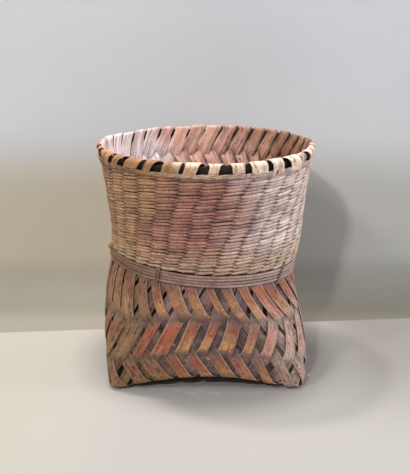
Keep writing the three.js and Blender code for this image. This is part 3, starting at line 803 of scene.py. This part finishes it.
class Nodes:
    """Short ways to add nodes to a tree and join them. A value is a socket, a number, a colour, or a
    text: a written colour, or the name of a cue, which is a socket kept by name or a mesh attribute."""

    def __init__(self, tree):
        self.tree = tree
        self.cues = {}

    def found(self, value):
        """The socket, number or colour that a value stands for."""
        if not isinstance(value, str):
            return value
        if value.startswith("#"):
            return linear(value)
        if value not in self.cues:
            self.cues[value] = self.add("ShaderNodeAttribute", attribute_name=value).outputs["Fac"]
        return self.cues[value]

    def join(self, value, entry):
        """An input set to a value or joined to its socket."""
        value = self.found(value)
        if isinstance(value, bpy.types.NodeSocket):
            self.tree.links.new(value, entry)
        else:
            entry.default_value = value

    def add(self, kind, inputs=None, **settings):
        """A node with its settings made and its inputs set or joined."""
        node = self.tree.nodes.new(kind)
        for key, value in settings.items():
            setattr(node, key, value)
        for key, value in (inputs or {}).items():
            self.join(value, node.inputs[key])
        return node

    def parts(self, vector):
        """A vector's X, Y and Z."""
        return self.add("ShaderNodeSeparateXYZ", {0: vector}).outputs

    def math(self, operation, first, second=0.0):
        """One sum of two numbers."""
        return self.add("ShaderNodeMath", {0: first, 1: second}, operation=operation).outputs[0]

    def total(self, first, *others):
        """Numbers added up."""
        for other in others:
            first = self.math("ADD", first, other)
        return first

    def product(self, first, *others):
        """Numbers multiplied together."""
        for other in others:
            first = self.math("MULTIPLY", first, other)
        return first

    def span(self, value, low, high, to_low=0.0, to_high=1.0):
        """A number that eases from one value to another as it goes from low to high."""
        inputs = {"Value": value, "From Min": low, "From Max": high, "To Min": to_low, "To Max": to_high}
        return self.add("ShaderNodeMapRange", inputs, interpolation_type="SMOOTHSTEP").outputs[0]

    def spans(self, table):
        """The spans that a table gives for cues."""
        return [self.span(cue, *limits) for cue, limits in table.items()]

    def noise(self, vector, scale, detail, roughness):
        """Cloudy noise from 0 to 1."""
        inputs = {"Vector": vector, "Scale": scale, "Detail": detail, "Roughness": roughness}
        return self.add("ShaderNodeTexNoise", inputs).outputs["Fac"]

    def blend(self, share, first, second, mode="MIX"):
        """A share of the second colour over the first."""
        inputs = {0: share, 6: first, 7: second}
        return self.add("ShaderNodeMix", data_type="RGBA", blend_type=mode, inputs=inputs).outputs[2]

    def shaded(self, colour, shade):
        """A colour made darker or lighter by a plain number."""
        plain = self.add("ShaderNodeCombineColor", {0: shade, 1: shade, 2: shade}).outputs[0]
        return self.blend(1.0, colour, plain, "MULTIPLY")

    def coat(self, colour, value, limits, second):
        """A colour under a second one, over a span of a value."""
        return self.blend(self.span(value, *limits), colour, second)

    def three_way(self, colours, turns):
        """A colour that drifts from the left of the basket over its middle to its right."""
        left, middle, right = colours
        return self.coat(self.coat(left, "drift", turns[:2], middle), "drift", turns[2:], right)


def linear(hexadecimal):
    """A written screen colour as the linear colour that a shader takes."""
    parts = np.array([int(hexadecimal[at : at + 2], 16) for at in (1, 3, 5)]) / 255
    parts = np.where(parts <= 0.04045, parts / 12.92, ((parts + 0.055) / 1.055) ** 2.4)
    return (*parts.tolist(), 1.0)


def pattern_group(name, entry, patterns):
    """A shader node group that makes the patterns of a table from one named vector."""
    group = bpy.data.node_groups.new(name, "ShaderNodeTree")
    group.interface.new_socket(entry, in_out="INPUT", socket_type="NodeSocketVector")
    for key in patterns:
        group.interface.new_socket(key, in_out="OUTPUT", socket_type="NodeSocketFloat")
    nodes = Nodes(group)
    start = nodes.add("NodeGroupInput").outputs[entry]
    leave = nodes.add("NodeGroupOutput").inputs
    for key, (scale, shift, *noise, kept) in patterns.items():
        inputs = {"Vector": start, "Scale": scale, "Location": shift}
        pattern = nodes.noise(nodes.add("ShaderNodeMapping", inputs).outputs[0], *noise)
        nodes.join(nodes.span(pattern, *kept) if kept else pattern, leave[key])
    return group


def new_material(name):
    """A material with its Principled shader, its node helper and its place on the basket."""
    material = bpy.data.materials.new(name)
    material.use_nodes = True
    nodes = Nodes(material.node_tree)
    shader = material.node_tree.nodes["Principled BSDF"]
    place = nodes.add("ShaderNodeTexCoord").outputs["Object"]
    return material, nodes, shader, place


def new_finish(name, fibre, smoke, cloud_drift):
    """A material with the cues that every finish is told from: patterns, height, depth to the back, and
    the share of the way from left to right, as it is and with the drift of the clouds."""
    material, nodes, shader, place = new_material(name)
    grain = nodes.add("ShaderNodeUVMap", uv_map="grain").outputs[0]
    for group, inputs in (fibre, {"Grain": grain}), (smoke, {"Place": place}):
        nodes.cues.update(nodes.add("ShaderNodeGroup", inputs, node_tree=group).outputs.items())
    x, nodes.cues["behind"], nodes.cues["height"] = nodes.parts(place)
    inputs = {"Value": x, "From Min": -SIDE_REACH, "From Max": SIDE_REACH}
    nodes.cues["share"] = nodes.add("ShaderNodeMapRange", inputs).outputs[0]
    nodes.cues["drift"] = nodes.total("share", nodes.span("Cloud", *cloud_drift))
    return material, nodes, shader


def wear_finish(nodes, shader, colour, pattern, depth):
    """Joins a colour to the shader, with fine lines that catch the light and a pattern raised as bump."""
    inputs = {"Height": nodes.total("Line", pattern), "Distance": depth, "Strength": BUMP_STRENGTH}
    nodes.join(colour, shader.inputs["Base Color"])
    nodes.join(nodes.span("Line", *ROUGHNESS_SPAN), shader.inputs["Roughness"])
    nodes.join(nodes.add("ShaderNodeBump", inputs).outputs[0], shader.inputs["Normal"])


def outside_colour(nodes):
    """Outside of a strip: gold low in its band and red above where it stands proud, duller towards its
    crossings, sooty where it dips under, and dark with painted shade where it lies behind the weft."""
    ends, gold, red, under, soot = [nodes.three_way(row, BODY_TURNS) for row in BODY_COLOURS]
    upper = nodes.total("high", *nodes.spans(RED_STRAY))
    proud = nodes.coat(gold, upper, GOLD_TO_RED, red)
    bare = nodes.total("exposed", *nodes.spans(BARE_STRAY))
    outside = nodes.coat(ends, bare, ENDS_TO_PROUD, proud)
    under = nodes.coat(under, "Blotch", SOOT_BLOTCHES, soot)
    outside = nodes.coat(outside, "exposed", DIP_UNDER, under)
    # painted shade behind the weft
    return nodes.coat(outside, *UNDER_WEFT_PAINTED_SHADE)


def strip_shade(nodes):
    """How light a strip is: lines, streaks, specks, bands, its own tone, and painted shade where it dips.
    """
    specks = nodes.product(*nodes.spans(SPECK_SHADE))
    bands = nodes.product(*nodes.spans(BAND_SHADE))
    shade = nodes.total(*nodes.spans(FIBRE_SHADE), specks, bands, nodes.span("tone", *TONE_SHADE))
    # painted shade where a strip dips under, painted light where it stands proud
    dips = nodes.total("exposed", nodes.product("inside", DIP_INSIDE))
    return nodes.product(shade, nodes.span(dips, *PAINTED_DIP_SHADE))


def with_splits(nodes, colour):
    """Dark splits along the fibre, where the plait is shut and inside at the right."""
    split = nodes.total("across", nodes.span("Streak", *SPLIT_WANDER))
    split = nodes.math("ABSOLUTE", nodes.math("SUBTRACT", nodes.math("FRACT", split), 0.5))
    split = nodes.product(nodes.span(split, *SPLIT_WIDTH), nodes.span("Stain", *SPLIT_PLACES))
    shut = nodes.product(nodes.span("tight", *SPLIT_TIGHT), nodes.math("SUBTRACT", 1.0, "inside"))
    shut = nodes.total(shut, nodes.product("inside", nodes.span("share", *SPLIT_INSIDE)))
    return nodes.blend(nodes.product(split, shut), colour, SPLIT_DARK)


def with_edges(nodes, colour):
    """Pale edges outside, painted highlight with some wear, most of all at the right and on one edge,
    painted shade in the gaps between the brown strips inside, and painted shade on the ends deep in the
    rim."""
    # pale edges: painted highlight with some wear
    brown = nodes.product("inside", nodes.span("share", *BROWN_INSIDE))
    worn = nodes.product(*nodes.spans(WORN_AND_HIGHLIGHT_EDGES), nodes.math("SUBTRACT", 1.0, brown))
    colour = nodes.blend(worn, colour, WORN_AND_HIGHLIGHT_PALE)
    # painted shade in the gaps between the brown strips inside
    gap = nodes.product(nodes.span("edge", *GAP_EDGE), brown, nodes.span("over", *GAP_BELOW_RIM))
    colour = nodes.blend(gap, colour, GAP_PAINTED_SHADE)
    # painted shade on the inner ends deep in the rim
    return nodes.blend(nodes.product("deep", RIM_DEPTH), colour, RIM_PAINTED_SHADE)


def splint_finish(fibre, smoke):
    """Aged split strip: brown at the left, red and orange at the front, pale and pinkish at the right,
    cream on the rim, and inside from pale pink at the left to brown at the right. These drifts are partly
    its own colour and partly painted light and shade."""
    material, nodes, shader = new_finish("aged_split_strip", fibre, smoke, STRIP_DRIFT)
    nodes.cues["edge"] = nodes.math("ABSOLUTE", "across")
    nodes.cues["inside"] = nodes.span("inner", *FACE_TURN)
    nodes.cues["over"] = nodes.math("SUBTRACT", "folded", nodes.span("behind", *RIM_BEHIND))
    inside = nodes.three_way(INSIDE_COLOURS, INSIDE_TURNS)
    # inside coats, with painted shade low in the body and on the base
    for coat in INSIDE_COATS:
        inside = nodes.coat(inside, *coat)
    rim = nodes.coat(nodes.three_way(RIM_COLOURS, RIM_TURNS), *RIM_STAINS)
    colour = nodes.blend("inside", outside_colour(nodes), inside)
    colour = nodes.coat(colour, "over", RIM_START, rim)
    colour = nodes.shaded(colour, strip_shade(nodes))
    colour = with_edges(nodes, with_splits(nodes, colour))
    wear_finish(nodes, shader, colour, "Speck", STRIP_RELIEF)
    return material


def strand_finish(name, fibre, smoke, colours, dive_shade, warmth, foot):
    """A fine strand: its colour drifts from left to right round the basket, partly as painted light, each
    dash has its own tone, the lowest rows yellow, specks glint on its upper side as painted highlights,
    its upper side has painted light and its lower side painted shade, its stains gather towards the
    dashes' ends partly as painted shade, and painted shade darkens it where it dives between columns."""
    material, nodes, shader = new_finish(name, fibre, smoke, STRAND_DRIFT)
    nodes.cues["light"] = nodes.math("FRACT", nodes.product("tone", LIGHT_REPEATS))
    hue = nodes.math("FRACT", nodes.product("tone", HUE_REPEATS))
    looks = (colours, STRAND_WARM, STRAND_STAINED_AND_SHADED)
    colour, warm, stained_and_shaded = [nodes.three_way(look, STRAND_TURNS) for look in looks]
    colour = nodes.coat(colour, hue, (*WARM_HUES, 0.0, warmth), warm)
    # stains from tone and blotches, and painted shade towards the dashes' ends
    stain_and_end_shade = nodes.total(nodes.product("tone", STAIN_TONE), nodes.product("Blotch", STAIN_BLOTCH))
    stain_and_end_shade = nodes.total(stain_and_end_shade, nodes.span("out", *PAINTED_SHADE_AT_ENDS))
    colour = nodes.coat(colour, stain_and_end_shade, STRAND_STAIN_AND_SHADE_SPAN, stained_and_shaded)
    colour = nodes.coat(colour, "height", (*FOOT_HEIGHTS, 0.0, foot), FOOT_YELLOW)
    # with painted light on the upper side and painted shade below
    colour = nodes.shaded(colour, nodes.total(*nodes.spans(STRAND_SHADE)))
    colour = nodes.blend(nodes.product(*nodes.spans(GLINTS)), colour, GLINT_PALE)
    # painted shade on the lower side
    colour = nodes.coat(colour, *LOW_SIDE_PAINTED_SHADE)
    # painted shade where the strand dives between columns
    dive = nodes.product(nodes.span("out", *DIVE_SPAN, 0.0, dive_shade), nodes.span("drift", *DIVE_RIGHT))
    colour = nodes.blend(dive, colour, GAP_PAINTED_SHADE)
    wear_finish(nodes, shader, colour, "Streak", STRAND_RELIEF)
    return material


# The basket

fibre = pattern_group("split_fibre", "Grain", FIBRES)
smoke = pattern_group("smoke_clouds", "Place", SMOKE)
splint = splint_finish(fibre, smoke)
weft = strand_finish("fine_weft", fibre, smoke, *WEFT_LOOK)
rim_weft = strand_finish("pale_rim_weft", fibre, smoke, *RIM_ROW_LOOK)
rod = strand_finish("smooth_rod", fibre, smoke, *ROD_LOOK)
bark = strand_finish("brown_bark", fibre, smoke, *BARK_LOOK)

for side in SIDES:
    for number in range(1, PER_SIDE + 1):
        make_strip(side, number, splint)
make_weft("a", 0, weft)
make_weft("b", 1, weft)
for number, height in enumerate(RIM_ROW_HEIGHTS, 1):
    make_rim_row(number, height, rim_weft)
for number, height in enumerate(ROD_HEIGHTS, 1):
    make_rod(number, height, rod)
make_tie("left_lashing", "lashing_left", bark, *LEFT_TIE)
make_tie("right_lashing", "lashing_right", bark, *RIGHT_TIE)
make_tie("loose_tie", "waist_tie", rim_weft, *LOOSE_TIE)

# The stage, in metres

COVE_START = 0.09
COVE_RADIUS = 0.04
COVE_STEPS = 48
WALL_HEIGHT = 0.36
SHEET_REACH = 1.0
FLOOR_COLOURS = ("#bab6ad", "#b6b3b0")  # at the left and elsewhere
# painted shadow on the floor at the basket's right
FLOOR_PAINTED_SHADOW = "#928f8b"
WALL_COLOUR = "#e4e7ed"
# painted shade on the lower wall, warmer at the left
LOW_WALL_PAINTED_SHADE = ("#d1c9b8", "#c7c8c5")  # at the left and at the right
# painted shade at the foot of the wall, darker at the right
WALL_FOOT_PAINTED_SHADE = ("#9a968a", "#777469")
WALL_LINE = (0.054, 0.056)  # the wall's paint starts behind this line
WALL_LINE_SLOPE = 0.092
WALL_TURN = (-0.1, 0.1)
WALL_RISE = (0.115, 0.19)
FOOT_RISE = (-0.005, COVE_RADIUS + 0.015)
FLOOR_TURN = (-0.16, -0.04)
# where the painted shadow lies on the floor
SHADOW_TURN = (0.06, 0.17)
SHADOW_DEPTH = (-0.19, -0.01)
BOARD_CLOUDS = (6.0, 3.0, 0.55)
BOARD_SHADE = (0.3, 0.7, 0.98, 1.02)
BOARD_ROUGHNESS = 0.7

# Name, place, aim, size, power and colour of each lamp
LAMPS = [
    ("lamp_left", (-0.85, -0.75, 1.3), (0, 0, 0.08), 0.2, 6.0, (1.0, 0.94, 0.86)),
    ("lamp_front", (-0.36, -1.17, 0.96), (0, 0, 0.1), 0.08, 7.0, (1.0, 0.94, 0.88)),
    ("lamp_above", (-0.03, 0.09, 1.3), (0, 0, 0.08), 0.22, 9.0, (1.0, 0.95, 0.89)),
    ("lamp_behind", (-0.3, 0.24, 1.3), (0, 0, 0.08), 0.1, 6.0, (1.0, 0.95, 0.89)),
    ("window_right", (1.1, -0.15, 0.45), (0, 0, 0.14), 0.5, 5.4, (1.0, 0.93, 0.88)),
]
FAINT_LIGHT = (0.5, 0.76, 1.0, 1)
FAINT_STRENGTH = 0.2
PALE_STRENGTH = 0.8

CAMERA_PLACE = (-0.0011, -0.740, 0.330)
CAMERA_DOWN = 16.57  # degrees below level
FOCAL_PIXELS = 850
FRAME_PIXELS = 473  # height of the image
SENSOR_HEIGHT = 36


def backdrop_mesh():
    """A sheet that runs back along the floor, eases up through a bend and stands as a wall. Along the
    bend its direction turns from level to upright by an eased share, and its steps are added up."""
    share = (np.arange(COVE_STEPS) + 0.5) / COVE_STEPS
    turn = np.pi / 2 * share**2 * (3 - 2 * share)
    sweep, climb = [np.cumsum(steps) / np.sum(steps) for steps in (np.cos(turn), np.sin(turn))]
    bend = COVE_START + COVE_RADIUS * sweep
    run = np.concatenate([[-SHEET_REACH, COVE_START], bend, [COVE_START + COVE_RADIUS]])
    rise = np.concatenate([[0, 0], COVE_RADIUS * climb, [WALL_HEIGHT]])
    x, y = np.meshgrid(np.array([-SHEET_REACH, SHEET_REACH]), run)
    points = np.stack([x, y, np.broadcast_to(rise[:, None], x.shape)], -1).reshape(-1, 3)
    first = 2 * np.arange(len(run) - 1)[:, None]
    mesh = bpy.data.meshes.new("backdrop")
    faces = first + np.array([0, 1, 3, 2])
    mesh.from_pydata(points.tolist(), [], faces.tolist(), shade_flat=False)
    return mesh


def board_finish():
    """Painted board: a floor with a painted shadow at the right, and a pale wall behind a line, whose
    lower part and grey foot carry painted shade. From behind and from below it is clear, so that it never
    hides the basket."""
    material, nodes, shader, place = new_material("painted_board")
    x, y, z = nodes.parts(place)
    beyond = nodes.math("SUBTRACT", y, nodes.product(x, WALL_LINE_SLOPE))
    from_left = nodes.span(x, *WALL_TURN)
    # painted shade on the lower wall and its foot
    wall = nodes.coat(nodes.blend(from_left, *LOW_WALL_PAINTED_SHADE), z, WALL_RISE, WALL_COLOUR)
    wall = nodes.coat(nodes.blend(from_left, *WALL_FOOT_PAINTED_SHADE), z, FOOT_RISE, wall)
    # painted shadow on the floor at the right
    dull = nodes.product(nodes.span(x, *SHADOW_TURN), nodes.span(y, *SHADOW_DEPTH))
    floor = nodes.blend(nodes.span(x, *FLOOR_TURN), *FLOOR_COLOURS)
    floor = nodes.blend(dull, floor, FLOOR_PAINTED_SHADOW)
    colour = nodes.coat(floor, beyond, WALL_LINE, wall)
    shade = nodes.span(nodes.noise(place, *BOARD_CLOUDS), *BOARD_SHADE)
    nodes.join(nodes.shaded(colour, shade), shader.inputs["Base Color"])
    nodes.join(BOARD_ROUGHNESS, shader.inputs["Roughness"])
    from_behind = nodes.add("ShaderNodeNewGeometry").outputs["Backfacing"]
    clear = nodes.add("ShaderNodeBsdfTransparent").outputs[0]
    seen = nodes.add("ShaderNodeMixShader", {0: from_behind, 1: shader.outputs[0], 2: clear}).outputs[0]
    nodes.join(seen, material.node_tree.nodes["Material Output"].inputs["Surface"])
    return material


def make_backdrop():
    """The painted board as the stage."""
    sheet = placed("backdrop", backdrop_mesh())
    sheet.data.materials.append(board_finish())


def soft_lamp(name, place, aim, size, power, colour):
    """A square lamp that points at a place on the basket."""
    data = bpy.data.lights.new(name, "AREA")
    data.size = size
    data.energy = power
    data.color = colour
    lamp = placed(name, data)
    lamp.location = place
    x, y, z = np.array(aim) - np.array(place)
    lamp.rotation_euler = (np.arctan2(np.hypot(x, y), -z), 0, np.arctan2(-x, y))


def make_room():
    """A faint cool light from all round, in a room that looks pale."""
    world = bpy.data.worlds.new("room")
    world.use_nodes = True
    nodes = Nodes(world.node_tree)
    faint = world.node_tree.nodes["Background"]
    nodes.join(FAINT_LIGHT, faint.inputs["Color"])
    nodes.join(FAINT_STRENGTH, faint.inputs["Strength"])
    inputs = {"Color": WALL_COLOUR, "Strength": PALE_STRENGTH}
    pale = nodes.add("ShaderNodeBackground", inputs).outputs[0]
    looked_at = nodes.add("ShaderNodeLightPath").outputs["Is Camera Ray"]
    room = nodes.add("ShaderNodeMixShader", {0: looked_at, 1: faint.outputs[0], 2: pale}).outputs[0]
    nodes.join(room, world.node_tree.nodes["World Output"].inputs["Surface"])
    bpy.context.scene.world = world


def make_camera():
    """A camera with the focal length in pixels that fits the photograph's view."""
    data = bpy.data.cameras.new("camera")
    data.sensor_fit = "VERTICAL"
    data.sensor_height = SENSOR_HEIGHT
    data.lens = FOCAL_PIXELS * SENSOR_HEIGHT / FRAME_PIXELS
    camera = placed("camera", data)
    camera.location = CAMERA_PLACE
    camera.rotation_euler = (np.radians(90 - CAMERA_DOWN), 0, 0)
    bpy.context.scene.camera = camera


make_backdrop()
for lamp in LAMPS:
    soft_lamp(*lamp)
make_room()
make_camera()
bpy.context.scene.view_settings.view_transform = "Standard"
